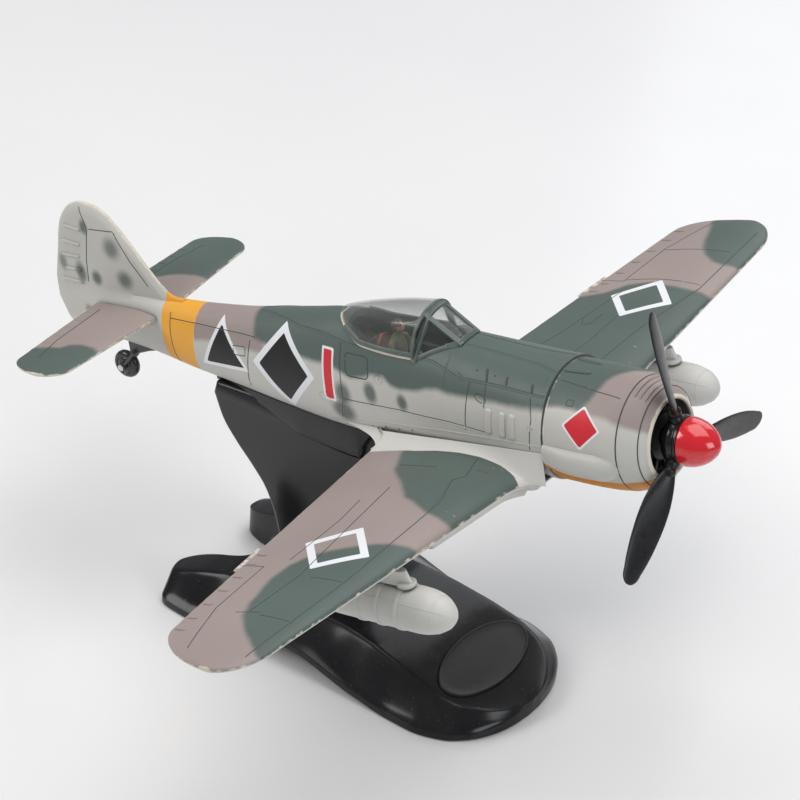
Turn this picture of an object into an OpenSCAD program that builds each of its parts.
// Display model of a single-engined propeller aircraft on a cradle stand.
// Row frame: +X towards the nose, +Y to port, +Z up. The origin lies on the
// table plane, on the centre line, midway between the nose and the tail.
// Aircraft parts are drawn in their own level frame (x = 0 at the spinner tip,
// z = 0 on the thrust line, x negative towards the tail) and then pitched
// nose-up and lifted onto the stand by aircraft().

/* [Attitude on the stand] */
// Nose-up pitch of the aircraft, degrees
pitch = 13.27; // [12.8:0.1:13.8]
// Spinner tip ahead of the stand's centre, mm
tip_x = 86.3; // [85:0.1:88]
// Height of the spinner tip above the table, mm
tip_z = 94.7; // [93:0.1:96.5]

/* [Fuselage] */
// Wall of the moulded fuselage shells, mm
wall = 1.5; // [1.2:0.1:1.8]
// Height of the fin above the thrust line, mm
fin_top = 31.2; // [29:0.1:33]
// Half thickness of the fin, mm
fin_t = 1.35; // [1:0.05:1.6]

/* [Wing] */
// Wing half span, mm
half_span = 109.4; // [105:0.1:112]
// Height of the root chord below the thrust line, mm
wing_drop = 10.3; // [10:0.1:10.8]
// Rise of the wing per mm of span
dihedral = 0.0432; // [0.03:0.001:0.06]
// Upper skin height at the root, mm
root_up = 3.7; // [3:0.1:4.2]
// Lower skin depth at the root, mm
root_dn = 2.5; // [2:0.1:3]

/* [Tailplane] */
// Tailplane half span, mm
tail_span = 37.6; // [35:0.1:39]
// Tailplane height above the thrust line, mm
tail_z = 5.53; // [5:0.05:6]

/* [Propeller] */
// Propeller radius, mm
prop_r = 34.1; // [30:0.1:35]
// Widest chord of a blade, mm
blade_w = 7.6; // [6:0.1:8.5]
// Blade angle at the first blade, degrees
blade_phase = -10.1; // [-60:0.5:60]
// Propeller shaft radius, mm
shaft_r = 1.0; // [0.8:0.05:1.2]
// Radial clearance of the running bores, mm
run_c = 0.05; // [0.02:0.01:0.09]

/* [Tail wheel] */
// Tail wheel radius, mm
tw_r = 3.6; // [3:0.1:4]
// Tail wheel width, mm
tw_w = 2.4; // [2:0.1:2.8]

/* [Drop tanks] */
// Drop tank radius, mm
tank_r = 5.1; // [4.5:0.1:5.5]
// Drop tank length, mm
tank_l = 47; // [40:1:52]
// Spanwise place of each tank, mm
tank_y = 54; // [50:0.5:58]

/* [Stand] */
// Place of the base's middle ahead of the origin, mm
stand_x = 5.4; // [0:0.1:8]
// Half width of the stand's base, mm
base_hw = 24.6; // [23:0.1:26]
// Length of the base, mm
base_len = 94.2; // [92:0.2:96]
// Thickness of the arm's web, mm
arm_t = 7; // [5:0.5:8]
// Diameter of the peg that enters the belly, mm
peg_d = 4; // [3:0.1:5]

/* [Hidden] */

gap = 0.03;          // clearance between glued parts
green = "#3f524a";
taupe = "#8b807c";
beige = "#c3c0b4";
black = "#1b1b1d";

function sp(v, p) = sign(v) * pow(abs(v), p);
function cl(v, a, b) = max(a, min(b, v));
function mix(a, b, t) = a + (b - a) * t;

// ---- fuselage design stations: [distance aft, value] ----
top_t = [[12.6,9.5],[13.9,11.2],[16,12.2],[18.4,12.8],[23,13.5],[29,13.8],[37,13.9],[48,14.3],[60,15],[75,15.8],[90,16.2],[100,15.7],[107,14.5],[115,13.1],[130,10.7],[145,9.6],[158,9.4],[170,9],[180,8],[186,7.5]];
bot_t = [[12.6,9.5],[13.9,11.2],[16,12.2],[18.4,12.8],[23,13.3],[29,13.4],[37,13.4],[48,13.4],[60,13.5],[75,13.6],[90,13.6],[100,13.3],[115,11.7],[130,9.6],[145,7.7],[158,5.6],[170,4.6],[180,4.3],[184,1.8],[186,-3.2]];
wid_t = [[12.6,9.5],[13.9,11.2],[16,12.2],[18.4,12.9],[23,13.5],[29,13.7],[37,13.6],[48,12.9],[60,12.1],[75,11.2],[90,10.1],[100,9.2],[115,7.9],[130,6.4],[145,4.9],[158,3.8],[170,2.7],[180,1.6],[186,0.55]];
mid_t = [[37,-0.5],[48,-1],[60,-1.5],[75,-2],[90,-2],[100,-1.5],[115,-0.7],[130,0.2],[145,1],[158,2],[170,3],[180,3.5],[186,5]];
pow_t = [[18,2],[37,2.2],[75,2.2],[100,2.1],[145,2.1],[160,2]];
fin_l = [[146,9.6],[150,10.4],[153,12.8],[155.6,15.9],[159.6,21.2],[163.6,26],[166.9,29.3],[170,30.8],[173.9,31.2],[176.5,30.5],[178.7,29.1],[180.8,26.6],[182.3,23.5],[184,17.4],[186,10.4]];
fin_h = [[146,0.9],[156,1.1],[164,1.3],[172,1.2],[180,0.85],[186,0.4]];

function s_top(x) = lookup(-x, top_t);
function s_bot(x) = -lookup(-x, bot_t);
function s_wid(x) = lookup(-x, wid_t);
function s_mid(x) = lookup(-x, mid_t);
function s_pow(x) = lookup(-x, pow_t);
// point of a section shrunk by t, at angle a (-90 keel, 90 spine)
function s_pt(x, a, t) =
  let (n = s_pow(x), zm = s_mid(x), c = cos(a), s = sin(a),
       w = s_wid(x) - t, h = (s >= 0 ? s_top(x) - zm : zm - s_bot(x)) - t)
  [w * sp(c, 2 / n), zm + h * sp(s, 2 / n)];
// angle where the section reaches height z below its middle
function a_low(x, z, t) =
  let (n = s_pow(x), zm = s_mid(x), h = zm - s_bot(x) - t)
  -asin(pow(cl((zm - z) / h, 0, 1), n / 2));
// angle where the upper section comes in to half width y
function a_up(x, y, t) =
  let (n = s_pow(x), w = s_wid(x) - t) acos(pow(cl(y / w, 0, 1), n / 2));
// height of the upper surface at half width y
function z_up(x, y) =
  let (n = s_pow(x), w = s_wid(x), zm = s_mid(x))
  zm + (s_top(x) - zm) * pow(1 - pow(cl(y / w, 0, 1), n), 1 / n);
// height of the lower surface at half width y
function z_dn(x, y) =
  let (n = s_pow(x), w = s_wid(x), zm = s_mid(x))
  zm - (zm - s_bot(x)) * pow(1 - pow(cl(y / w, 0, 1), n), 1 / n);

// closed solid between two grids of points, A outside and B inside
module slab(A, B) {
  ni = len(A); nj = len(A[0]); N = ni * nj;
  pts = concat([for (r = A) each r], [for (r = B) each r]);
  function q(a, b, c, d) = [[a, b, c], [a, c, d]];
  f = concat(
    [for (i = [0:ni-2], j = [0:nj-2]) each q(i*nj+j, i*nj+j+1, (i+1)*nj+j+1, (i+1)*nj+j)],
    [for (i = [0:ni-2], j = [0:nj-2]) each q(N+i*nj+j, N+(i+1)*nj+j, N+(i+1)*nj+j+1, N+i*nj+j+1)],
    [for (i = [0:ni-2]) each q(i*nj, (i+1)*nj, N+(i+1)*nj, N+i*nj)],
    [for (i = [0:ni-2]) each q(i*nj+nj-1, N+i*nj+nj-1, N+(i+1)*nj+nj-1, (i+1)*nj+nj-1)],
    [for (j = [0:nj-2]) each q(j, N+j, N+j+1, j+1)],
    [for (j = [0:nj-2]) each q((ni-1)*nj+j, (ni-1)*nj+j+1, N+(ni-1)*nj+j+1, N+(ni-1)*nj+j)]);
  polyhedron(pts, f, convexity = 8);
}
module on_stand() translate([stand_x, 0, 0]) children();
module aircraft() translate([tip_x + stand_x, 0, tip_z]) rotate([0, -pitch, 0]) children();
module along_x(x) translate([x, 0, 0]) rotate([0, -90, 0]) children();
module starboard() mirror([0, 1, 0]) children();

// ---- wing planform ----
function le(y) = -42.95 - 0.0632 * (y - 12) + 5.2 * pow(cl((20 - y) / 8, 0, 1), 2);
function te(y) = -84.2 + 0.1199 * (y - 12);
tip0 = half_span - 10.8;
function tf(y) = let (u = cl((y - tip0) / (half_span - tip0), 0, 1)) 1 - sqrt(max(0, 1 - u * u));
function xle(y) = mix(le(y), mix(le(y), te(y), 0.3255), tf(y));
function xte(y) = mix(te(y), mix(le(y), te(y), 0.3255), tf(y));
function cz(y) = -wing_drop + dihedral * (max(y, 12) - 12);
function foil(u) = 2.6 * sqrt(u) * (1 - u);
function span_t(y) = mix(1, 0.36, cl((y - 12) / (half_span - 12), 0, 1)) * (1 - 0.75 * tf(y));
function u_of(k, n) = (1 - cos(180 * k / n)) / 2 * 0.35 + 0.65 * pow(k / n, 1.6);
NU = 12;
wy = [15, 18, 22, 30, 42, 54, 66, 80, 92, tip0, tip0+3, tip0+5.5, tip0+7.6, tip0+9.2, tip0+10.3, tip0+10.7];
// top of the fairing where the wing meets the fuselage side
function fair_z(x) = lookup(-x, [[36,-1.8],[64,-5.0],[84,-7.3],[97,-8.6]]);

function w_up(y, k) = let (u = u_of(k, NU), x = mix(xle(y), xte(y), u))
  [x, y, cz(y) + 0.16 + root_up * span_t(y) * foil(u)];
function w_mid(y, k, d) = let (u = u_of(k, NU)) [mix(xle(y), xte(y), u), y, cz(y) + d];
function w_dn(y, k) = let (u = u_of(k, NU), x = mix(xle(y), xte(y), u))
  [x, y, cz(y) - 0.16 - root_dn * span_t(y) * foil(u)];
// root rows follow the fuselage side and rise into the fairing
function root_row(s, k, up) =
  let (u = u_of(k, NU), x = mix(-37.3, -84, u), yw = s_wid(x) + gap + 0.02,
       yy = mix(yw, 15, s), zt = cz(12) + 0.16 + root_up * foil(u),
       f = pow(1 - s, 2))
  [mix(x, mix(xle(15), xte(15), u), s), yy,
   up ? max(zt, mix(zt, fair_z(x), f)) : cz(yy) + gap / 2];

module wing_upper() {
  A = concat([for (s = [0, 0.33, 0.66]) [for (k = [0:NU]) root_row(s, k, true)]],
             [for (y = wy) [for (k = [0:NU]) w_up(y, k)]]);
  B = concat([for (s = [0, 0.33, 0.66]) [for (k = [0:NU]) root_row(s, k, false)]],
             [for (y = wy) [for (k = [0:NU]) w_mid(y, k, gap / 2)]]);
  slab(A, B);
}
screw_pos = [[-59.5, 24], [-66, 24]];
module screw_holes(r, z0, z1) for (p = screw_pos) translate([p[0], p[1], z0]) cylinder(r = r, h = z1 - z0, $fn = 24);

module wing_upper_left() color(green) aircraft() difference() { wing_upper(); screw_holes(0.82, -12, -7.4); }
module wing_upper_right() color(taupe) aircraft() starboard() difference() { wing_upper(); screw_holes(0.82, -12, -7.4); }

// one-piece lower wing with the belly pan
function lo_row(y, k) = let (u = u_of(k, NU), a = abs(y), x = a < 15 ? mix(-38.7, -84.6, u) : mix(xle(a), xte(a), u),
    zf = cz(a) - 0.16 - root_dn * span_t(a) * foil(u),
    zb = a < s_wid(x) - 0.01 ? z_dn(x, a) : 0)
  [x, y, min(zf, zb)];
function lo_mid(y, k) = let (u = u_of(k, NU), a = abs(y), x = a < 15 ? mix(-38.7, -84.6, u) : mix(xle(a), xte(a), u))
  [x, y, cz(a) - gap / 2];
lys = concat([for (i = [len(wy)-1:-1:0]) -wy[i]], [-11.5, -9.5, -6.5, -3.2, 0, 3.2, 6.5, 9.5, 11.5], wy);
peg_x = -72;
module wing_lower() color(beige) aircraft() difference() {
  slab([for (y = lys) [for (k = [0:NU]) lo_mid(y, k)]], [for (y = lys) [for (k = [0:NU]) lo_row(y, k)]]);
  // socket for the stand's peg
  translate([peg_x, 0, -14.5]) cylinder(r = peg_d / 2 + run_c, h = 3.4, $fn = 32);
  for (m = [0, 1]) mirror([0, m, 0]) {
    screw_holes(0.95, -14, -9);
    screw_holes(1.7, -14, -11.4);
  }
}
module wing_screws() color("#9a9a98") aircraft() for (m = [0, 1]) mirror([0, m, 0]) for (p = screw_pos)
  translate([p[0], p[1], 0]) difference() {
    union() {
      translate([0, 0, -12.3]) cylinder(r = 1.55, h = 0.85, $fn = 24);
      translate([0, 0, -11.6]) cylinder(r = 0.78, h = 3.9, $fn = 24);
    }
    for (a = [0, 90]) rotate([0, 0, a]) translate([-1, -0.18, -12.4]) cube([2, 0.36, 0.5]);
  }

// ---- fuselage shells ----
z_cut = -wing_drop + gap;
cut_f = -38.6; cut_r = -84.7;
open_f = -64.6; open_r = -94.5;
// half width of the canopy base along the fuselage
function can_y(x) = lookup(-x, [[62.8,3.4],[73.3,8.2],[88.5,7.3],[93,5.6],[96.5,3],[98,0.6]]);
function sill(x) = can_y(x) - 1.0;
NB = 16; NF = 7;
function fr(j) = j <= NB ? 0.9 * j / NB : 0.9 + 0.1 * (j - NB) / NF;
function fin_z(x) = let (z = lookup(-x, fin_l)) z > 12 ? 12 + (z - 12) * (fin_top - 12) / 19.2 : z;
function f_out(x, j) =
  let (cut = x < cut_f && x > cut_r, op = x < open_f && x > open_r,
       a0 = cut ? a_low(x, z_cut, 0) : -90, a1 = op ? a_up(x, sill(x), 0) : 90)
  x > -146.2 ?
    let (p = s_pt(x, mix(a0, a1, fr(j)), 0)) [x, max(gap / 2, p[0]), p[1]]
  : let (h = lookup(-x, fin_h) * fin_t / 1.35, n = s_pow(x), ye = min(1.7 * h, s_wid(x) * 0.8),
         af = a_up(x, ye, 0), e = s_pt(x, af, 0), zt = max(fin_z(x), s_top(x) + 0.3))
    j <= NB ? let (p = s_pt(x, mix(-90, af, j / NB), 0)) [x, max(gap / 2, p[0]), p[1]]
    : let (s = (j - NB) / NF, z = mix(e[1], zt, 1 - pow(1 - s, 1.6)), d = zt - z,
           y = min(mix(ye, h, cl(s * 3, 0, 1)), h * sqrt(cl(d / 2.4, 0, 1)) + 0.02))
      [x, max(gap / 2, j == NB + NF ? 0 : y), z];
function f_in(x, j) =
  let (cut = x < cut_f && x > cut_r, op = x < open_f && x > open_r,
       a0 = cut ? a_low(x, z_cut, wall) : -90, a1 = op ? a_up(x, sill(x), wall) : 90)
  x > -143 ?
    let (p = s_pt(x, mix(a0, a1, fr(j)), wall)) [x, max(gap / 2, p[0]), p[1]]
  : let (o = f_out(x, 0)[2], t = f_out(x, NB + NF)[2])
    [max(x, -185.6), gap / 2, mix(o + 0.15, t - 0.15, (j + 0.5) / (NB + NF + 1))];
fx = [-37.1, -38.59, -38.61, -42, -46, -50, -55, -60, -64.59, -64.61, -68, -72, -76, -80, -84.69, -84.71, -88, -91.5, -94.49, -94.51, -98, -102, -107, -115, -122, -130, -137, -142.99, -143.01, -146.19, -146.21, -148, -150, -152, -153.5, -155.6, -157.6, -159.6, -162, -164.5, -167, -170, -173.5, -176.5, -179, -181, -182.8, -184.2, -185.2, -186];
module fuselage_shell() slab([for (x = fx) [for (j = [0:NB+NF]) f_out(x, j)]], [for (x = fx) [for (j = [0:NB+NF]) f_in(x, j)]]);
// tab slots of the tailplanes
module tail_slot() translate([-166, -6, tail_z - 0.55]) cube([8, 12, 1.1]);
module fuselage_left() color(beige) aircraft() difference() { fuselage_shell(); tail_slot(); }
module fuselage_right() color(green) aircraft() starboard() difference() { fuselage_shell(); tail_slot(); }

// ---- nose ----
function ring_r(s) = lookup(s, wid_t);
module engine_cowling() color(taupe) aircraft() {
  difference() {
    union() {
      along_x(0) rotate_extrude($fn = 96) polygon(concat(
        [[8.55, 12.2], [9.1, 12.1], [9.6, 12.35]],
        [for (s = [12.9, 13.4, 14, 15, 16.5, 18.4, 20.5, 23, 26, 29, 33, 36.9]) [ring_r(s), s]],
        [[12.35, 36.9], [12.35, 30], [12.2, 24], [11.6, 18.6], [10.6, 16], [9.4, 14.2], [8.7, 13.2]]));
      for (m = [0, 1]) mirror([0, m, 0]) hull() {
        translate([-21.5, 11.6, -4.6]) sphere(r = 2.3, $fn = 20);
        translate([-30, 11.9, -4.8]) sphere(r = 2.6, $fn = 20);
        translate([-36, 12.2, -3.4]) sphere(r = 1.5, $fn = 20);
      }
    }
    along_x(-13.3) rotate_extrude($fn = 64) polygon([[0, 0], [8.7, 0], [10.2, 2.2], [11.5, 5.3], [12.1, 10.7], [12.3, 17], [12.3, 30], [0, 30]]);
    translate([-60.9, -20, -20]) cube([24, 40, 40]);
  }
}
module engine_core() color(black) aircraft() difference() {
  union() {
    along_x(-16.9) cylinder(r = 4.3, h = 3, $fn = 48);
    along_x(-18.2) cylinder(r = 10.4, h = 5, $fn = 64);
    along_x(-23) cylinder(r = 11.4, h = 12, $fn = 64);
    along_x(-34.5) cylinder(r = 12.2, h = 2.2, $fn = 64);
  }
  along_x(-10) cylinder(r = shaft_r + run_c, h = 30, $fn = 32);
}
module cooling_fan() color(black) aircraft() along_x(-14.2) difference() {
  union() {
    cylinder(r = 5.2, h = 2.6, $fn = 48);
    for (a = [0:30:330]) rotate([0, 0, a]) translate([4.8, -0.35, 0.4]) rotate([30, 0, 0]) cube([3.4, 0.5, 1.6]);
  }
  translate([0, 0, -1]) cylinder(r = 2.1, h = 8, $fn = 32);
}
module spinner_cap() color("#c01820") aircraft() along_x(0) difference() {
  rotate_extrude($fn = 64) polygon(concat([[0, 0]],
    [for (k = [1:14]) let (s = k / 14) [5.55 * pow(1 - pow(1 - s, 2.1), 0.62), 7.95 * s]], [[0, 7.95]]));
  translate([0, 0, 4.95]) cylinder(r = shaft_r + 0.02, h = 5, $fn = 32);
}
// one blade: rows of [radius, chord, twist from the disc plane, thickness]
blade_t = [[4.6,2.6,40,2.2],[7,2.9,38,1.9],[9.5,4.4,35,1.5],[12.5,6,31,1.3],[16,7.2,28,1.15],[20,7.6,25,1.0],[24,7.3,22,0.9],[28,6.3,20,0.8],[31,5,18,0.7],[33,3.3,17,0.55],[33.9,1.6,17,0.4]];
function bl_pt(r, k, up) = let (c = r[1] * blade_w / 7.6, th = -r[2], s = k / 8, t = r[3],
    v = (s - 0.5) * c, w = (up ? 1 : -1) * (0.1 + 0.5 * t * sqrt(max(0, 1 - pow(2 * s - 1, 2)))))
  [-9.9 + v * sin(th) + w * cos(th), v * cos(th) - w * sin(th), r[0] * prop_r / 34.1];
module blade() slab([for (r = blade_t) [for (k = [0:8]) bl_pt(r, k, false)]], [for (r = blade_t) [for (k = [0:8]) bl_pt(r, k, true)]]);
module propeller() color(black) aircraft() difference() {
  union() {
    along_x(-7.98) rotate_extrude($fn = 64) polygon([[0, 0], [5.5, 0], [5.6, 1.5], [5.5, 3.4], [4.9, 4.1], [0, 4.1]]);
    for (k = [0:2]) rotate([-(blade_phase + 120 * k), 0, 0]) { blade(); translate([-9.9, 0, 4.6]) cylinder(r = 1.55, h = 3, $fn = 24); }
  }
  along_x(-6) cylinder(r = shaft_r + 0.02, h = 8, $fn = 32);
}
module prop_shaft() color("#8a8a88") aircraft() along_x(-5) cylinder(r = shaft_r, h = 34.4, $fn = 32);
module shaft_clip() color("#8a8a88") aircraft() along_x(-38) difference() {
  cylinder(r = 2.2, h = 1, $fn = 32);
  translate([0, 0, -1]) cylinder(r = shaft_r + 0.02, h = 3, $fn = 32);
}

// ---- cockpit ----
module cockpit_tub() color("#5b615c") aircraft() {
  difference() {
    translate([-93.5, -5.3, 0.5]) cube([27.5, 10.6, 7.5]);
    translate([-92.6, -4.4, 1.5]) cube([25.7, 8.8, 8]);
  }
  translate([-80, 0, z_cut + 0.02]) cylinder(r = 2.2, h = 11, $fn = 32);
}
module pilot_seat() color("#7c3b2c") aircraft() {
  translate([-86, -2.6, 1.55]) cube([7, 5.2, 1.3]);
  translate([-86.6, 0, 1.55]) rotate([0, -8, 0]) {
    translate([-0.6, -2.6, 0.2]) cube([1.2, 5.2, 8.6]);
    translate([-0.6, 0, 8.8]) rotate([0, 90, 0]) cylinder(r = 2.6, h = 1.2, $fn = 32);
  }
}
module pilot_figure() color("#5d6136") aircraft() {
  hull() {
    translate([-83.4, 0, 4.6]) scale([1, 1.3, 1]) sphere(r = 1.6, $fn = 20);
    translate([-83.8, 0, 10.6]) scale([0.9, 1.5, 0.8]) sphere(r = 1.7, $fn = 20);
  }
  translate([-83.2, 0, 14.2]) sphere(r = 1.75, $fn = 24);
  translate([-83.4, 0, 11]) cylinder(r = 0.8, h = 2, $fn = 20);
  for (m = [0, 1]) mirror([0, m, 0]) {
    hull() { translate([-83.6, 2.4, 10.6]) sphere(r = 0.85, $fn = 14); translate([-81.4, 3, 7.2]) sphere(r = 0.75, $fn = 14); }
    hull() { translate([-82.6, 1.3, 4.2]) sphere(r = 1, $fn = 14); translate([-76, 1.6, 4.2]) sphere(r = 0.9, $fn = 14); }
  }
}
module instrument_panel() color("#2c2e2d") aircraft() {
  difference() {
    translate([-69.6, -4.6, 8.05]) cube([1.1, 9.2, 4.6]);
    for (y = [-3, 0, 3]) translate([-69.8, y, 10.6]) rotate([0, 90, 0]) cylinder(r = 0.8, h = 0.6, $fn = 24);
  }
  translate([-69, 0, 12.6]) cylinder(r = 0.7, h = 2.2, $fn = 20);
}

// ---- glazing ----
function ws_out(i, j) = // i: 0 front edge, 3 rear arch; j: -4..4 around
  let (a = abs(j), s = i / 3, sg = sign(j),
       fy = [0, 1.7, 3.3, 6.0, 8.1][a], fxx = [-62.6, -62.7, -63.0, -68.2, -73.0][a],
       ry = [0, 1.8, 3.4, 6.0, 8.25][a], rz = [22.0, 21.8, 20.9, 16.2, 11.1][a], rx = [-71.6, -71.7, -72.1, -72.9, -73.5][a],
       fz = z_up(fxx, fy) + 0.24)
  [mix(fxx, rx, s), sg * mix(fy, ry, s), max(mix(fz, rz, s), a == 4 ? z_up(mix(fxx, rx, s), mix(fy, ry, s)) + 0.24 : 0)];
function ws_in(i, j) = let (p = ws_out(i, j), a = abs(j), s = i / 3, f = 0.9)
  [mix(-71, p[0], a == 4 ? 0.985 : mix(0.9, 1, s)) + (i == 0 ? 0 : 0), p[1] * f, max(mix(11, p[2], 0.93), z_up(p[0], abs(p[1]) * f) + 0.28)];
module windscreen() color("#9fb0a8", 0.5) aircraft()
  slab([for (i = [0:3]) [for (j = [-4:4]) ws_in(i, j)]], [for (i = [0:3]) [for (j = [-4:4]) ws_out(i, j)]]);
hood_top = [[73.6,21.95],[81.5,20.8],[90,18.9],[97.6,17.0]];
function hd(x, a, t) =
  let (y0 = can_y(x) - t, zb = z_up(x, y0) + 0.12, zt = max(lookup(-x, hood_top) - t, zb + 0.35 - t * 0.25), n = 2.3)
  [x, y0 * sp(cos(a), 2 / n), zb + (zt - zb) * pow(sin(a), 2 / n)];
hx = [-73.75, -76, -80, -84, -88.5, -91, -93, -95, -96.5, -97.4];
module canopy_hood() color("#9fb0a8", 0.5) aircraft()
  slab([for (x = hx) [for (k = [0:12]) hd(x, k * 15, 0)]], [for (x = hx) [for (k = [0:12]) hd(x, k * 15, 0.55)]]);

// ---- wing underside ----
module gear_door() {
  A = [for (i = [0:6]) [for (k = [0:3]) let (y = mix(14, 44, i / 6), x = mix(xle(y) - 1.6, xle(y) - 13 + 0.1 * i, k / 3))
      [x, y, cz(y) - 0.16 - root_dn * span_t(y) * foil((xle(y) - x) / (xle(y) - xte(y))) - 0.1]]];
  B = [for (r = A) [for (p = r) [p[0], p[1], p[2] - 0.9]]];
  slab(A, B);
}
module gear_door_left() color(beige) aircraft() gear_door();
module gear_door_right() color(beige) aircraft() starboard() gear_door();
tank_z = -20.4; tank_x = -35.2;
module pylon() {
  translate([-47, tank_y, tank_z + tank_r + 0.3]) cylinder(r = 2.1, h = 0.9, $fn = 32);
  hull() {
    translate([-47, tank_y, tank_z + tank_r + 0.6]) cylinder(r = 1.5, h = 0.5, $fn = 20);
    translate([-64, tank_y, tank_z + tank_r + 0.6]) cylinder(r = 0.8, h = 0.5, $fn = 20);
    translate([-49, tank_y, -11.6]) cylinder(r = 1.5, h = 0.4, $fn = 20);
    translate([-66, tank_y, -11.2]) cylinder(r = 0.8, h = 0.4, $fn = 20);
  }
}
module pylon_left() color(beige) aircraft() pylon();
module pylon_right() color(beige) aircraft() starboard() pylon();
module drop_tank() translate([tank_x, tank_y, tank_z]) rotate([0, -90, 0]) rotate_extrude($fn = 64)
  polygon(concat([[0, 0]],
    [for (k = [1:8]) let (s = k / 8) [tank_r * sqrt(1 - pow(1 - s, 2)), 8.7 * s]],
    [for (s = [12.2, 17.4, 22.6]) each [[tank_r, s], [tank_r + 0.25, s + 0.15], [tank_r + 0.25, s + 0.95], [tank_r, s + 1.1]]],
    [[tank_r, 27]],
    [for (k = [1:8]) let (s = k / 8) [tank_r * cos(90 * s * 0.93) , mix(27, tank_l, pow(s, 0.85))]], [[0, tank_l]]));
module drop_tank_left() color(beige) aircraft() drop_tank();
module drop_tank_right() color(beige) aircraft() starboard() drop_tank();

// ---- tail ----
function tle(y) = -152.7 - 0.0845 * (y - 5);
function tte(y) = -172.07 + 0.0336 * (y - 5);
ttip = tail_span - 5;
function ttf(y) = let (u = cl((y - ttip) / (tail_span - ttip), 0, 1)) 1 - sqrt(max(0, 1 - u * u));
function tx(y, u) = mix(mix(tle(y), mix(tle(y), tte(y), 0.4325), ttf(y)), mix(tte(y), mix(tle(y), tte(y), 0.4325), ttf(y)), u);
function t_pt(y, k, up) = let (u = u_of(k, 8), x = tx(y, u), yr = y > 4.9 ? y : s_wid(x) + gap + 0.03)
  [x, yr, tail_z + (up ? 1 : -1) * (0.16 + 1.05 * mix(1, 0.5, y / tail_span) * (1 - 0.7 * ttf(y)) * foil(u))];
tys = [4.8, 5.2, 9, 15, 22, 28, ttip, ttip + 1.8, ttip + 3.2, ttip + 4.2, ttip + 4.85];
module tailplane() {
  slab([for (y = tys) [for (k = [0:8]) t_pt(y, k, true)]], [for (y = tys) [for (k = [0:8]) t_pt(y, k, false)]]);
  translate([-165.6, 0.3, tail_z - 0.45]) cube([7.2, 8, 0.9]);
}
module tailplane_left() color(green) aircraft() tailplane();
module tailplane_right() color(taupe) aircraft() starboard() tailplane();
tw = [-168.6, -11.5];
module tail_wheel_strut() color(black) aircraft() difference() {
  union() {
    hull() {
      translate([-158.5, -1.1, -6.9]) cube([1, 2.2, 0.8]);
      translate([-165, -1.1, -6.9]) cube([1, 2.2, 0.8]);
      translate([-165.6, -1, -8]) cube([1.6, 2, 1]);
    }
    for (m = [0, 1]) mirror([0, m, 0]) {
      hull() {
        translate([tw[0], tw_w / 2 + 0.25, tw[1]]) rotate([-90, 0, 0]) cylinder(r = 0.95, h = 0.7, $fn = 24);
        translate([-164.4, tw_w / 2 + 0.25, -7.4]) rotate([-90, 0, 0]) cylinder(r = 0.7, h = 0.7, $fn = 24);
      }
    }
    translate([-164.4, -tw_w / 2 - 0.4, -7.4]) rotate([-90, 0, 0]) cylinder(r = 0.7, h = tw_w + 0.8, $fn = 24);
  }
  translate([tw[0], -3, tw[1]]) rotate([-90, 0, 0]) cylinder(r = 0.52, h = 6, $fn = 24);
}
module tail_wheel() color(black) aircraft() translate([tw[0], 0, tw[1]]) rotate([90, 0, 0]) translate([0, 0, -tw_w / 2]) difference() {
  rotate_extrude($fn = 64) polygon([[0, 0.35], [1.2, 0.35], [1.2, 0], [tw_r - 1.6, 0.3], [tw_r - 1.1, 0.15], [tw_r - 0.45, 0.35], [tw_r - 0.05, 0.95],
    [tw_r, tw_w / 2], [tw_r - 0.05, tw_w - 0.95], [tw_r - 0.45, tw_w - 0.35], [tw_r - 1.1, tw_w - 0.15], [tw_r - 1.6, tw_w - 0.3], [1.2, tw_w], [1.2, tw_w - 0.35], [0, tw_w - 0.35]]);
  translate([0, 0, -1]) cylinder(r = 0.5 + run_c, h = tw_w + 2, $fn = 32);
}
module tail_wheel_axle() color("#8a8a88") aircraft() translate([tw[0], 0, tw[1]]) rotate([90, 0, 0]) {
  translate([0, 0, -tw_w / 2 - 1.1]) cylinder(r = 0.5, h = tw_w + 2.2, $fn = 32);
  for (s = [-1, 1]) translate([0, 0, s * (tw_w / 2 + 1.27) - 0.25]) cylinder(r = 0.8, h = 0.5, $fn = 32);
}

// ---- stand, drawn level ----
// half width of the base on the table
function b_out(x) = lookup(x, [[-47.1,19.6],[-46.6,21.4],[-45.5,22.9],[-43,23.8],[-36,24.3],[-20,24.1],[0,24],[18,24.3],[28,24.6],[36,22.6],[41,18.6],[44.5,13.2],[46.4,7.4],[47.1,2.2]]) * base_hw / 24.6;
// half width of its top crease, as a share of b_out
function b_cr(x) = lookup(x, [[-47.1,0.86],[-44,0.8],[-36,0.75],[-26,0.7],[0,0.667],[24,0.73],[40,0.75],[47.1,0.7]]);
function b_top(x) = lookup(x, [[-47.1,7],[-44,8.4],[-38,10.8],[-31,12.8],[-29,13],[4,13],[12,12.3],[22,10.4],[42,5.7],[47.1,4.4]]);
function b_bot(x) = lookup(x, [[-47.1,0.35],[-35,0.35],[-28,3.6],[-20,5.4],[-10,6.2],[-3,5.6],[8.5,2.2],[20,0.35],[47.1,0.35]]);
sx = [-47.1, -46.6, -45.5, -44, -41, -38, -35, -31, -29, -25, -20, -15, -10, -3, 4, 8.5, 12, 16, 20, 22, 26, 30, 34, 38, 42, 44.5, 46.4, 47.1];
function b_sec(x, k) = let (o = b_out(x), c = b_cr(x) * o, w = o - c, t = b_top(x), b = b_bot(x), l = min(b + 1.7, t - 1.4))
  [[0, t], [0.35 * c, t], [0.7 * c, t - 0.06], [max(c - 0.9, 0.88 * c), t - 0.2], [c, t - 0.75], [c + 0.4 * w, mix(t, l, 0.5)], [c + 0.78 * w, l + 0.9], [o, l]][k];
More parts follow.
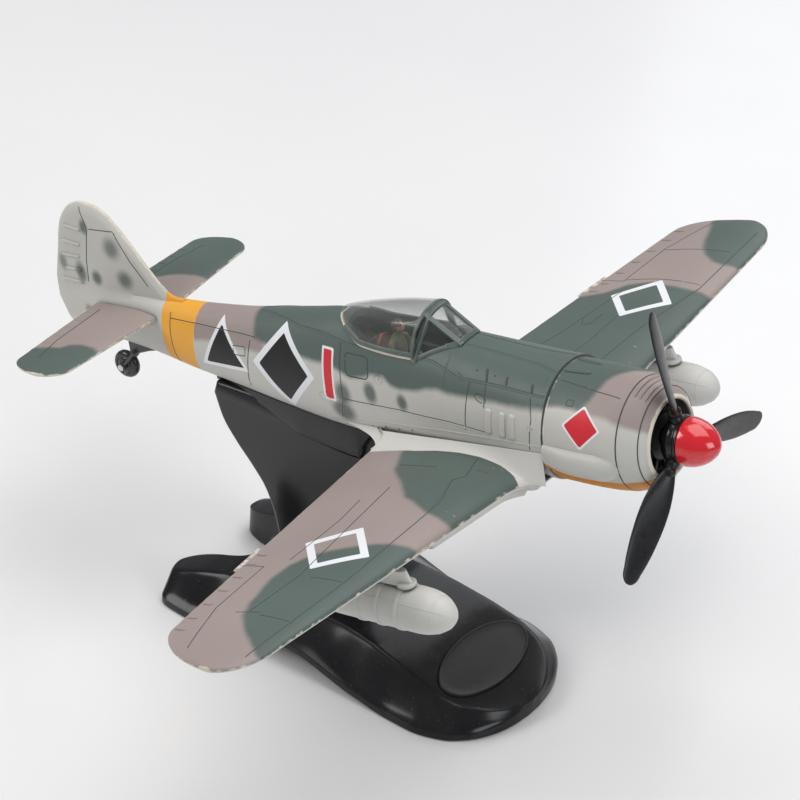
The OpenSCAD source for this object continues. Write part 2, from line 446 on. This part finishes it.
function b_pt(x, k, up) = let (p = b_sec(x, abs(k)), xs = x * base_len / 94.2) [xs, sign(k) * p[0], up ? p[1] : b_bot(x)];
fork = [[-52,14.6],[-47.4,14.4],[-46.4,13],[-44.6,11.8],[-41,10.6],[-36,9.9],[-32.5,9],[-30.2,7],[-28.9,4],[-28.5,1.2]];
slope = atan(0.235);         // fall of the top ahead of the arm
plate_x = 32;
plate_a = 7.3; plate_b = 15.6;
function oval(a, b, n) = [for (i = [0:n-1]) [a * cos(360 * i / n), b * sin(360 * i / n)]];
module on_slope() translate([plate_x, 0, b_top(plate_x)]) rotate([0, slope, 0]) children();
arm_screw_x = [-19, -5];
module stand_base() color(black) on_stand() difference() {
  union() {
    slab([for (x = sx) [for (k = [-7:7]) b_pt(x, k, true)]], [for (x = sx) [for (k = [-7:7]) b_pt(x, k, false)]]);
    // resting pads, front and on each leg
    linear_extrude(1.2) polygon(concat([for (x = [26, 30, 34, 38, 41, 44]) [x, b_out(x) - 1.6]], [for (x = [44, 41, 38, 34, 30, 26]) [x, 1.6 - b_out(x)]]));
    for (m = [0, 1]) mirror([0, m, 0]) linear_extrude(1.2) polygon([[-45.6, 14.6], [-44, 13.6], [-38, 12.2], [-38, 22.6], [-43, 22.2], [-45.6, 20.6]]);
  }
  translate([0, 0, -1]) linear_extrude(20) polygon(concat(fork, [for (i = [len(fork)-1:-1:0]) [fork[i][0], -fork[i][1]]]));
  on_slope() translate([0, 0, -0.5]) linear_extrude(3) polygon(oval(plate_a + 0.1, plate_b + 0.1, 48));
  for (x = arm_screw_x) translate([x, 0, 0]) { translate([0, 0, 4]) cylinder(r = 1.1, h = 12, $fn = 32); cylinder(r = 2.4, h = 8.6, $fn = 32); }
}
module name_plate() color("#26262a") on_stand() on_slope() translate([0, 0, -0.47]) {
  linear_extrude(0.85) polygon(oval(plate_a, plate_b, 48));
  difference() {
    linear_extrude(1.1) polygon(oval(plate_a, plate_b, 48));
    translate([0, 0, -1]) linear_extrude(4) polygon(oval(plate_a - 0.5, plate_b - 0.5, 48));
  }
}
module arm_screws() color("#8a8a88") on_stand() for (x = arm_screw_x) translate([x, 0, 0]) difference() {
  union() { translate([0, 0, 7.2]) cylinder(r = 2.1, h = 1.37, $fn = 32); translate([0, 0, 8]) cylinder(r = 0.93, h = 11.4, $fn = 32); }
  for (a = [0, 90]) rotate([0, 0, a]) translate([-1.3, -0.22, 6.9]) cube([2.6, 0.44, 0.9]);
}
// saddle under the belly: [distance aft, half width, depth below the keel]
sad_w = [[91.5,5.0],[100,5.2],[112,4.9],[120,4.2],[130,2.9],[139.6,0.9]];
sad_d = [[91.5,6.2],[96,7.2],[104.6,6.6],[113,6],[118.6,4.4],[124,2.8],[132,2],[139.6,1.7]];
sdx = [-91.5, -92.5, -94, -97, -101, -106, -111, -116, -120, -124, -129, -134, -138, -139.6];
function sad_pt(x, k, up) = let (w = lookup(-x, sad_w), y = w * k / 4, zb = s_bot(x) - lookup(-x, sad_d), e = x > -96 ? pow((x + 96) / 4.5, 2) * 2.4 : 0)
  [up ? x : x - 3.6 * cl((x + 97) / 5.5, 0, 1), y, up ? z_dn(x, abs(y)) - 0.14 : zb + e];
function to_row(x, z) = [tip_x + x * cos(pitch) - z * sin(pitch), tip_z + x * sin(pitch) + z * cos(pitch)];
arm_rear = [[-46.6,51.2],[-43.6,44.6],[-39.6,39.8],[-34.3,34.6],[-30.8,30.6],[-28.4,26],[-26.6,20.8],[-25.4,16],[-24.6,13.06]];
arm_front = [[1.4,13.06],[0.6,16.5],[0.2,22],[0.6,28],[2,35],[4.4,41],[8,46.5],[13,51.5],[19,56.4],[25.6,60.6]];
module stand_arm() color(black) difference() {
  union() {
    on_stand() rotate([90, 0, 0]) translate([0, 0, -arm_t / 2]) linear_extrude(arm_t) polygon(concat(arm_rear, arm_front,
      [for (x = [-66.6, -72, -78, -84, -90, -97, -104, -111, -118, -125, -132, -138]) to_row(x, s_bot(x) - 0.35)]));
    on_stand() translate([0, 0, 13.06]) linear_extrude(1.7) polygon(concat(
      [for (a = [90:15:270]) [-24.6 + 5.2 * cos(a), 5.2 * sin(a)]], [for (a = [-90:15:90]) [-2 + 5.2 * cos(a), 5.2 * sin(a)]]));
    aircraft() {
      slab([for (x = sdx) [for (k = [4:-1:-4]) sad_pt(x, k, true)]], [for (x = sdx) [for (k = [4:-1:-4]) sad_pt(x, k, false)]]);
      translate([peg_x, 0, -15.5]) cylinder(r = peg_d / 2, h = 4.2, $fn = 32);
    }
  }
  on_stand() for (x = arm_screw_x) translate([x, 0, 12]) cylinder(r = 0.95, h = 8, $fn = 32);
}

fuselage_left();
fuselage_right();
engine_cowling();
engine_core();
cooling_fan();
spinner_cap();
propeller();
prop_shaft();
shaft_clip();
cockpit_tub();
pilot_seat();
pilot_figure();
instrument_panel();
windscreen();
canopy_hood();
wing_lower();
wing_upper_left();
wing_upper_right();
wing_screws();
gear_door_left();
gear_door_right();
tailplane_left();
tailplane_right();
tail_wheel_strut();
tail_wheel();
tail_wheel_axle();
pylon_left();
pylon_right();
drop_tank_left();
drop_tank_right();
stand_base();
stand_arm();
arm_screws();
name_plate();
